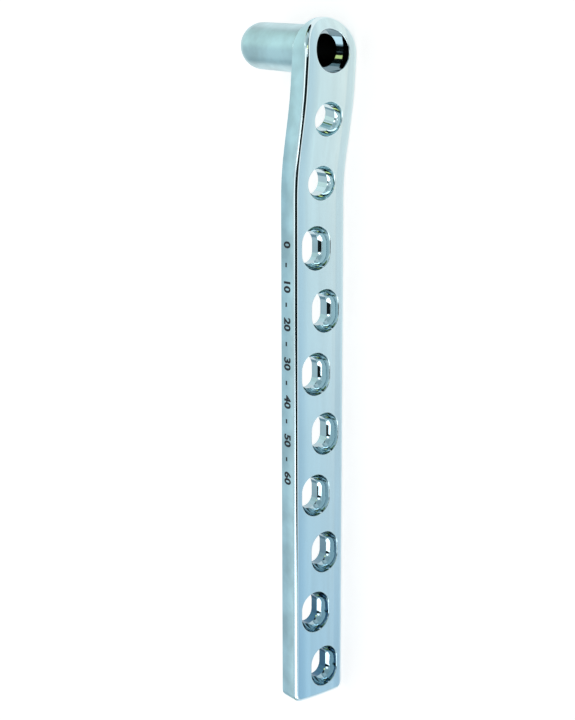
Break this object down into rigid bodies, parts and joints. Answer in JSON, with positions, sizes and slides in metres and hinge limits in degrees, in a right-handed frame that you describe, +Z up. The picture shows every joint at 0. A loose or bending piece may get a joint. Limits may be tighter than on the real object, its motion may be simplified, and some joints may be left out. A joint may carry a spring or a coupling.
{
  "type": "condylar bone plate",
  "caption": "Straight steel bone plate with staggered compression slots, round screw holes, and a rounded head with a hollow barrel set at 95 degrees.",
  "frame": {"origin": "where the barrel's axis meets the bone face of the head, halfway across the width", "axes": "+X along the shaft towards the head, +Y to the bone as the barrel points, +Z up, square to the long side"},
  "size_m": [0.1762, 0.0321, 0.016],
  "materials": {
    "steel": "satin, faintly blue"
  },
  "bodies": {
    "root": {"condylar_plate": "steel"}
  },
  "joints": []
}
